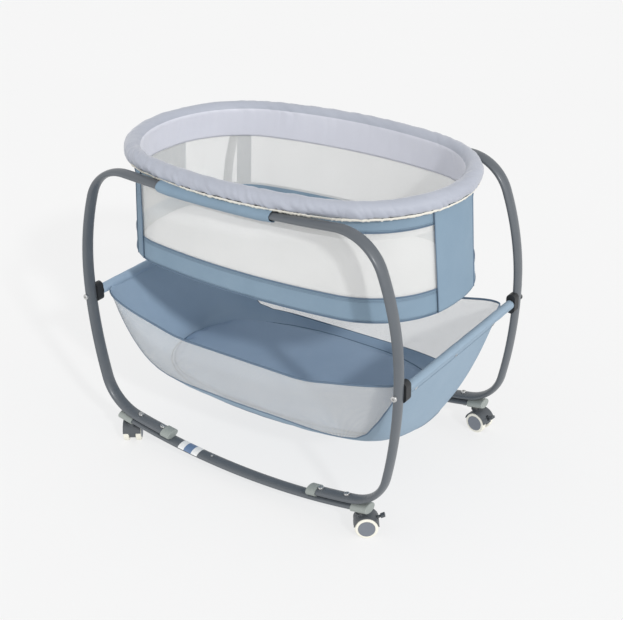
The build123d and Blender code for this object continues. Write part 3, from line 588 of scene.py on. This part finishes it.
hem_rows = []
for step in range(HEM_STEPS + 1):
    low = HEM_LOW_ANGLE + 0.14 * rough(lift(rim_line, 0.0), 0.02, 8)
    angle = HEM_ANGLE + 0.07 * rough(lift(rim_line, 0.1), 0.015, 7)
    angle = angle + (low - angle) * step / HEM_STEPS
    ridge = folds(-0.9, 4, pitch=0.0055, slant=0.0) * HEM_RIDGE * (0.4 + 0.6 * step / HEM_STEPS)
    bulge = HEM_BULGE * sin(pi * step / HEM_STEPS)
    flare = HEM_FLARE * step / HEM_STEPS
    hem_rows.append(rim_row(angle, COVER_R - COVER_INSET + bulge + ridge + flare))
rim_hem = grid("rim_elastic_hem", hem_rows[::-1], CREAM, closed=True, thickness=HEM_CLOTH)
settle(rim_hem, "rim_satin")

foam_rows = []
for step in range(FOAM_STEPS + 1):
    angle = 2 * pi * step / FOAM_STEPS
    lumps = 0.0004 * rough(lift(rim_line, angle * 0.02), 0.06, 9)
    foam_rows.append(rim_row(angle, COVER_R - FOAM_INSET + lumps))
rim_foam = settle(grid("rim_foam", foam_rows, FOAM, closed=True), "foam", "rim_padding")

# ---------------------------------------------------------------- bassinet tub
TUB_COUNTS, PANEL_STEPS = (130, 90, 50), 40
PANEL_OUT = 0.0027                     # the strips and end panels lie this far outside the net
BAND_CLOTH, STRIP_CLOTH = 0.0009, 0.0008
NET_LAP, NET_INSET = 0.003, 0.0014     # how far the net runs under the bands, and how far in it lies
CREASE, PANEL_CREASE = 0.0009, 0.0006
PIPING_OUT, STITCH_OUT = 0.0005, 0.0009
UPRIGHT_PIPE_R, UPRIGHT_PIPE_OUT = 0.0016, 0.0004
STITCH_HEIGHTS = (BAND_TOP_Z + 0.0045, BAND_LOW_Z - 0.0045, BAND_LOW_Z - 0.0075, TUB_LOW_Z + 0.005)
top_line, top_out = oval(*TUB_TOP, counts=TUB_COUNTS)
low_line, low_out = oval(*TUB_LOW, counts=TUB_COUNTS)


def tub_row(z, out=0.0):
    """A row of points round the tub's cloth at a height."""
    t = (z - TUB_LOW_Z) / (TUB_TOP_Z - TUB_LOW_Z)
    flat = low_line + (top_line - low_line) * t
    facing = low_out + (top_out - low_out) * t
    facing /= np.linalg.norm(facing, axis=1)[:, None]
    return lift(flat + facing * np.broadcast_to(out, len(flat))[:, None], z), facing


def tub_rows(z_low, z_high, count, wave, seed, size=0.035, out=0.0):
    """Rows between two heights with small creases that fade at the seams."""
    rows = []
    for k in range(count + 1):
        z = z_low + (z_high - z_low) * k / count
        base, _ = tub_row(z)
        crease = rough(base, size, seed, (1, 1, 0.35)) * wave * (0.35 + 0.65 * sin(pi * k / count))
        rows.append(tub_row(z, crease + out)[0])
    return np.array(rows)


wall = tub_rows(BAND_LOW_Z - NET_LAP, BAND_TOP_Z + NET_LAP, 28, CREASE, 11, 0.09, -NET_INSET)
panel_rows = []
for k in range(PANEL_STEPS + 1):
    height = TUB_LOW_Z + 0.001 + (TUB_TOP_Z - TUB_LOW_Z - 0.001) * k / PANEL_STEPS
    crease = PANEL_OUT + PANEL_CREASE * rough(tub_row(height)[0], 0.05, 13, (1, 1, 0.3))
    panel_rows.append(tub_row(height, crease)[0])
panel_rows = np.array(panel_rows)
middle_row = panel_rows[PANEL_STEPS // 2]
ends = columns(panel_rows, np.abs(middle_row[:, 1]) < END_HALF + 0.001)
strips = columns(panel_rows, np.abs(middle_row[:, 0] + STRIP_X) < STRIP_HALF)


mesh_wall = settle(grid("tub_net", wall, WHITE_NET, closed=True), "white_mesh", "mesh_wall")
strip_pieces = [grid(f"strip{k}", rows, BLUE, thickness=STRIP_CLOTH) for k, rows in enumerate(strips)]
side_strips = settle(join_pieces("tub_side_strips", strip_pieces), "blue_cloth")
end_pieces = [grid(f"end{k}", rows, BLUE, thickness=BAND_CLOTH) for k, rows in enumerate(ends)]
end_panels = settle(join_pieces("tub_end_panels", end_pieces), "blue_cloth", "end_panels")
band_rows = tub_rows(BAND_TOP_Z, TUB_TOP_Z + 0.0006, 8, CREASE, 17, 0.02)
top_band = grid("tub_top_band", band_rows, BLUE, closed=True, thickness=BAND_CLOTH)
settle(top_band, "blue_cloth", "top_band")
band_rows = tub_rows(TUB_LOW_Z + 0.0005, BAND_LOW_Z, 12, CREASE, 19, 0.03)
bottom_band = grid("tub_bottom_band", band_rows, BLUE, closed=True, thickness=BAND_CLOTH)
settle(bottom_band, "blue_cloth", "bottom_band")

piping_lines = []
PIPES = (                              # height, radius and flatness of each piping round the tub
    (BAND_TOP_Z, 0.0017, 0.5), (BAND_LOW_Z, 0.0019, 0.5), (TUB_LOW_Z + 0.0008, 0.0016, 0.8),
)
for z, radius, flat in PIPES:
    line, facing = tub_row(z, PIPING_OUT)
    outward = lift(facing, 0.0)
    piping_lines.append(tube(f"pipe{z}", line, radius, PIPING, closed=True, flat=flat, outward=outward))
for column in [rows[:, k] for rows in (*ends, *strips) for k in (0, -1)]:
    outward = column * np.array((1.0, 0.3, 0.0))
    line = column + outward / np.linalg.norm(outward, axis=1)[:, None] * UPRIGHT_PIPE_OUT
    piping_lines.append(tube("pipe_up", line, UPRIGHT_PIPE_R, PIPING, flat=0.5, outward=outward))
tub_piping = settle(join_pieces("tub_piping", piping_lines), "blue_cloth")

stitch_lines = []
for z in STITCH_HEIGHTS:
    line, facing = tub_row(z, STITCH_OUT)
    stitch_lines.append((line, lift(facing, 0.0)))
tub_stitches = settle(stitches("tub_stitching", stitch_lines, THREAD, closed=True), "blue_cloth")

FLOOR_SCALES, FLOOR_SAG = (1.0, 0.985, 0.95, 0.85, 0.6, 0.3, 0.02), 0.0025
floor_rows = [
    lift(low_line * scale, TUB_LOW_Z - 0.0004 - FLOOR_SAG * (1 - scale**4)) for scale in FLOOR_SCALES
]
tub_floor = settle(grid("tub_floor_cloth", floor_rows, BLUE, closed=True), "blue_cloth", "tub_floor")


MATTRESS = (TUB_LOW[0] - 0.008, TUB_LOW[1] - 0.007, TUB_LOW[2] - 0.006, TUB_LOW[3])
mattress_line, _ = oval(*MATTRESS, counts=(40, 30, 16))
MATTRESS_Z, MATTRESS_HELD_Z, MATTRESS_EDGE = (0.4735, 0.4895), 0.4745, 0.006
mattress = closed_pad("mattress_pad", mattress_line, *MATTRESS_Z, MATTRESS_EDGE, WHITE)
mattress = swell(mattress, 0.006, MATTRESS_HELD_Z)
settle(mattress, "mattress_cloth", "mattress")

# ---------------------------------------------------------------- lower basket
# Half lengths (A) and half widths (B) are given at the floor and at the top edge.
BASKET_LOW_Z, BASKET_A, BASKET_B = 0.1656, (0.350, 0.4098), (0.202, 0.238)
CORNERS = (2.4, 10.0)                  # squareness of the outline at the floor and at the top edge
TOP_X = (0.0, 0.180, 0.220, 0.309, 0.345, 0.412)
TOP_Z = (0.314, 0.320, 0.330, 0.349, 0.358, 0.371)
# The seam between the net and the cloth, from the middle of a long side to its end.
SEAM_X = (0.0, 0.240, 0.278, 0.308, 0.340, 0.364, 0.380, 0.386)
SEAM_Z = (0.184, 0.185, 0.192, 0.214, 0.258, 0.298, 0.328, 0.345)
SMOOTHING = np.hanning(45)             # rounds the corners of the top edge's line
EDGE_X = np.linspace(-TOP_X[-1], TOP_X[-1], 331)
edge_heights = np.interp(np.abs(EDGE_X), TOP_X, TOP_Z)
edge_heights = np.pad(edge_heights, len(SMOOTHING) // 2, mode="reflect", reflect_type="odd")
EDGE_Z = np.convolve(edge_heights, SMOOTHING / SMOOTHING.sum(), mode="valid")
BASKET_COLUMNS, WALL_ROWS, NET_ROWS = 560, 26, 22
SLING_CLOTH, SLEEVE_CLOTH = 0.0010, 0.0008
turns = np.arange(BASKET_COLUMNS) * 2 * pi / BASKET_COLUMNS + pi / BASKET_COLUMNS


def basket_point(u, turn):
    """A point of the basket's cloth: u is 0 at the floor and 1 at the top edge."""
    n = CORNERS[0] + (CORNERS[1] - CORNERS[0]) * u**0.65
    a = BASKET_A[0] + (BASKET_A[1] - BASKET_A[0]) * u**0.97
    b = BASKET_B[0] + (BASKET_B[1] - BASKET_B[0]) * u**0.6
    c, s = np.cos(turn), np.sin(turn)
    x = a * np.sign(c) * np.abs(c) ** (2 / n)
    y = b * np.sign(s) * np.abs(s) ** (2 / n)
    top = np.interp(x, EDGE_X, EDGE_Z)
    return np.stack((x, y, BASKET_LOW_Z + (top - BASKET_LOW_Z) * u), axis=-1)


def basket_normals(points):
    """Outward directions of a block of cloth rows."""
    across = np.roll(points, -1, axis=1) - np.roll(points, 1, axis=1)
    up = np.gradient(points, axis=0)
    facing = np.cross(across, up)
    return facing / np.maximum(np.linalg.norm(facing, axis=2), 1e-9)[:, :, None]


def crumple(points, facing, amount, size, seed, stretch=(1, 1, 1)):
    """Moves rows of points in and out by smooth noise."""
    wave = rough(points, size, seed, stretch).reshape(points.shape[:2])
    return points + facing * (wave * amount)[:, :, None]


# For each column, the share of the height where the net starts, found by halving.
low, high = np.zeros(BASKET_COLUMNS), np.ones(BASKET_COLUMNS)
for _ in range(24):
    half = (low + high) / 2
    spot = basket_point(half, turns)
    along = np.abs(spot[:, 0])
    above = (spot[:, 2] > np.interp(along, SEAM_X, SEAM_Z)) & (along < SEAM_X[-1])
    high, low = np.where(above, half, high), np.where(above, low, half)
seam = np.where(high > 0.97, 1.0, high)
has_net = seam < 1.0

sling_wall = np.array([basket_point(seam * k / WALL_ROWS, turns) for k in range(WALL_ROWS + 1)])
facing = basket_normals(sling_wall)
sling_wall = crumple(sling_wall, facing, 0.0020, 0.10, 31, (1, 1, 0.6))
sling_wall = crumple(sling_wall, facing, 0.0007, 0.03, 32, (1, 1, 0.4))
outline = sling_wall[0]
floor = []
for s in (0.04, 0.3, 0.6, 0.85, 0.95):
    sag = BASKET_LOW_Z + (outline[:, 2] - BASKET_LOW_Z) * s - 0.0015 * (1 - s)
    floor.append(np.column_stack((outline[:, :2] * s, sag)))
sling_rows = np.concatenate((np.array(floor), sling_wall))
sling_body = grid("sling_body", sling_rows, LIGHT_BLUE, closed=True, thickness=SLING_CLOTH)
# The inner shell takes the lighter cloth copy: painted light inside the basket.
sling_body.data.materials.append(LIT_BASKET_INSIDE)
sling_body.modifiers["thickness"].material_offset = 1

net_rows = [basket_point(seam + (1 - seam) * k / NET_ROWS, turns) for k in range(NET_ROWS + 1)]
net_rows = np.array(net_rows)
net_rows = crumple(net_rows, basket_normals(net_rows), 0.0016, 0.12, 33, (1, 1, 0.5))
basket_net = [grid(f"bnet{k}", rows, GREY_NET) for k, rows in enumerate(columns(net_rows, has_net))]
basket_net = settle(join_pieces("basket_net", basket_net), "grey_mesh", "basket_mesh")

SLEEVE_HALF, SLEEVE_R, SLEEVE_STEPS = 0.221, 0.0104, 20
sleeves = []
for sign in (-1, 1):
    ys = np.linspace(-SLEEVE_HALF, SLEEVE_HALF, 90)
    rows = []
    for k in range(SLEEVE_STEPS + 1):
        t = 2 * pi * k / SLEEVE_STEPS
        ring = np.column_stack((ys, ys * 0 + cos(t) * 0.03, ys * 0 + sin(t) * 0.03))
        radius = SLEEVE_R * (1 + 0.06 * rough(ring, 0.03, 41 + sign))
        rows.append(np.column_stack((sign * (BAR_X + radius * cos(t)), ys, BAR_Z + radius * sin(t))))
    sleeves.append(grid("sleeve", rows, LIGHT_BLUE, thickness=SLEEVE_CLOTH, inward=sign < 0))
basket_sling = join_pieces("basket_sling_cloth", [sling_body, *sleeves])
settle(basket_sling, "light_blue_cloth", "basket_sling")

FLOOR_PIPE_R, TOP_PIPE_R, SEAM_PIPE_R = 0.0019, 0.0026, 0.0018
edge_pieces, sling_stitch = [], []
top_edges = columns(np.stack((net_rows[-1], net_rows[-1])), has_net)
seam_edges = columns(np.stack((net_rows[0], net_rows[0])), has_net)
bottom_edge = np.column_stack((outline[:, :2] * 0.996, outline[:, 2]))
outward = lift(outline[:, :2], 0.0)
edge_pieces.append(tube("edge", bottom_edge, FLOOR_PIPE_R, PIPING, closed=True, outward=outward))
for rows in top_edges:
    edge_pieces.append(tube("edge", rows[0], TOP_PIPE_R, PIPING, flat=0.7, outward=rows[0] * (0.2, 1, 0)))
for rows in seam_edges:
    edge_pieces.append(tube("edge", rows[0], SEAM_PIPE_R, PIPING, flat=0.6, outward=rows[0] * (0.4, 1, 0)))
SEAM_HALF, SEAM_HEIGHT, SEAM_POINTS = 0.196, 0.84, 60     # the stitched row under each sleeve
ys = np.linspace(-SEAM_HALF, SEAM_HALF, SEAM_POINTS)
across = np.arctan2(np.sign(ys) * np.abs(ys / 0.236) ** 4.5, np.full(SEAM_POINTS, 1.0))
for sign in (-1, 1):
    spot = basket_point(np.full(SEAM_POINTS, SEAM_HEIGHT), across if sign > 0 else pi - across)
    outward = np.tile((sign * 1.0, 0.0, -0.3), (SEAM_POINTS, 1))
    sling_stitch.append((spot + np.array((sign * 0.0026, 0, 0)), outward))
basket_piping = settle(join_pieces("basket_piping", edge_pieces), "blue_cloth")
basket_stitches = stitches(
    "basket_stitching", sling_stitch, THREAD, pitch=0.005, length=0.0034, width=0.0005,
)
settle(basket_stitches, "light_blue_cloth")

BASKET_PAD = (0.343, 0.188, 0.150, 15.0)   # as RIM
PAD_Z, PAD_HELD_Z, PAD_EDGE = (0.1675, 0.1790), 0.1690, 0.005
pad_line, _ = oval(*BASKET_PAD, counts=(44, 34, 18))
# The pad takes the lighter blue copy: painted light.
basket_pad = closed_pad("basket_floor_pad", pad_line, *PAD_Z, PAD_EDGE, LIT_PAD_BLUE)
basket_pad = swell(basket_pad, 0.005, PAD_HELD_Z)
settle(basket_pad, "blue_cloth", "basket_pad")

# ---------------------------------------------------------------- cloth that laps over the loops' top runs
LAP_X, LAP_COUNT = (-0.172, 0.122), 120
LAP_CLOTH, LAP_PIPE_R, LAP_WAVE, LAP_RISE = 0.0008, 0.0016, 0.0012, 0.0030
TOP_RUN_R = 3.82                      # the loop's top run is a slow arc
LAP_PROFILE = (                       # distance from the loop's centre plane outwards, and height
    (-0.0100, 0.6950), (-0.0020, 0.6935), (0.0060, 0.6925), (0.0120, 0.6900), (0.0160, 0.6860),
    (0.0178, 0.6810), (0.0165, 0.6750), (0.0125, 0.6700), (0.0060, 0.6668), (-0.0020, 0.6652),
    (-0.0100, 0.6642), (-0.0170, 0.6630),
)
laps, lap_hems = [], []
for side in (-1, 1):
    xs = np.linspace(*LAP_X, LAP_COUNT) * (1 if side < 0 else -1)
    to_end = np.minimum(np.linspace(0, 1, LAP_COUNT), np.linspace(1, 0, LAP_COUNT))
    fade = np.clip(to_end / 0.10, 0, 1) ** 0.5
    rows = []
    for k, (out, height) in enumerate(LAP_PROFILE):
        line = np.column_stack((xs, xs * 0 + side * (LOOP_Y + out), xs * 0 + height))
        wave = rough(line, 0.020, 51 + side, (1, 1, 0.5)) * LAP_WAVE * sin(pi * k / (len(LAP_PROFILE) - 1))
        rise = LAP_RISE * (1 - fade) * (k > 4)
        line[:, 1] += side * wave
        line[:, 2] += rise + 0.6 * wave + xs**2 / (2 * TOP_RUN_R)
        rows.append(line)
    laps.append(grid(f"lap{side}", rows, BLUE, thickness=LAP_CLOTH, inward=side > 0))
    hem = rows[-3] + np.array((0, side * 0.0004, -0.0006))
    outward = np.tile((0.0, side * 0.5, -1.0), (LAP_COUNT, 1))
    lap_hems.append(tube("laphem", hem, LAP_PIPE_R, PIPING, flat=0.7, outward=outward))
loop_laps = settle(join_pieces("loop_lap_cloth", laps), "blue_cloth")
lap_hem = settle(join_pieces("loop_lap_hems", lap_hems), "blue_cloth")

# ---------------------------------------------------------------- studio and camera
AZIMUTH, ELEVATION, ROLL = radians(35.713), radians(26.825), radians(-1.234)
TARGET, DISTANCE, LENS = Vector((0.027411, 0.0, 0.342089)), 2.838161, 72.12
back = Vector((sin(AZIMUTH) * cos(ELEVATION), -cos(AZIMUTH) * cos(ELEVATION), sin(ELEVATION)))
right = Vector((cos(AZIMUTH), sin(AZIMUTH), 0.0))
up = back.cross(right)
right, up = right * cos(ROLL) + up * sin(ROLL), up * cos(ROLL) - right * sin(ROLL)
camera = bpy.data.objects.new("camera", bpy.data.cameras.new("camera"))
scene.collection.objects.link(camera)
turned = Matrix((right, up, back)).transposed().to_4x4()
camera.matrix_world = Matrix.Translation(TARGET + back * DISTANCE) @ turned
camera.data.lens, camera.data.sensor_width = LENS, 36.0
camera.data.clip_start, camera.data.clip_end = 0.05, 60.0
scene.camera = camera

backdrop, tree, shader = start("studio_floor", Roughness=0.9, Emission_Strength=0.70)
shader.inputs["Emission Color"].default_value = (1.0, 1.0, 1.0, 1.0)
where = add(tree, "TexCoord").outputs["Object"]
shade = tint(tree, noise_node(tree, where, 0.8, 2.0), linear(118, 118, 118), linear(122, 122, 122))
link(tree, shade, shader.inputs["Base Color"])
FLOOR_HALF = 14
corners = [(x * FLOOR_HALF, y * FLOOR_HALF, 0) for x, y in ((-1, -1), (1, -1), (1, 1), (-1, 1))]
floor_piece = mesh_piece("studio_floor", corners, [(0, 1, 2, 3)], backdrop)


LAMP_DISTANCE = 3.2


def lamp(name, kind, direction, energy, **settings):
    """A light that shines towards the crib from a direction."""
    light = bpy.data.lights.new(name, kind)
    light.energy = energy
    for key, value in settings.items():
        setattr(light, key, value)
    item = bpy.data.objects.new(name, light)
    scene.collection.objects.link(item)
    away = Vector(direction).normalized()
    item.location = TARGET + away * LAMP_DISTANCE
    item.rotation_euler = away.to_track_quat("Z", "Y").to_euler()


lamp("key", "SUN", (0.757, -0.42, 0.50), 1.25, angle=radians(4))
lamp("side", "AREA", (1.0, 0.1, 0.5), 18.0, size=2.6)
lamp("fill", "AREA", (-0.6, -1.0, 0.5), 16.0, size=2.8)
world = bpy.data.worlds.new("studio")
world.use_nodes = True
sky = world.node_tree.nodes["Background"].inputs
sky["Color"].default_value = (1.0, 1.0, 1.0, 1.0)
sky["Strength"].default_value = 0.78
scene.world = world
scene.view_settings.view_transform = "Standard"
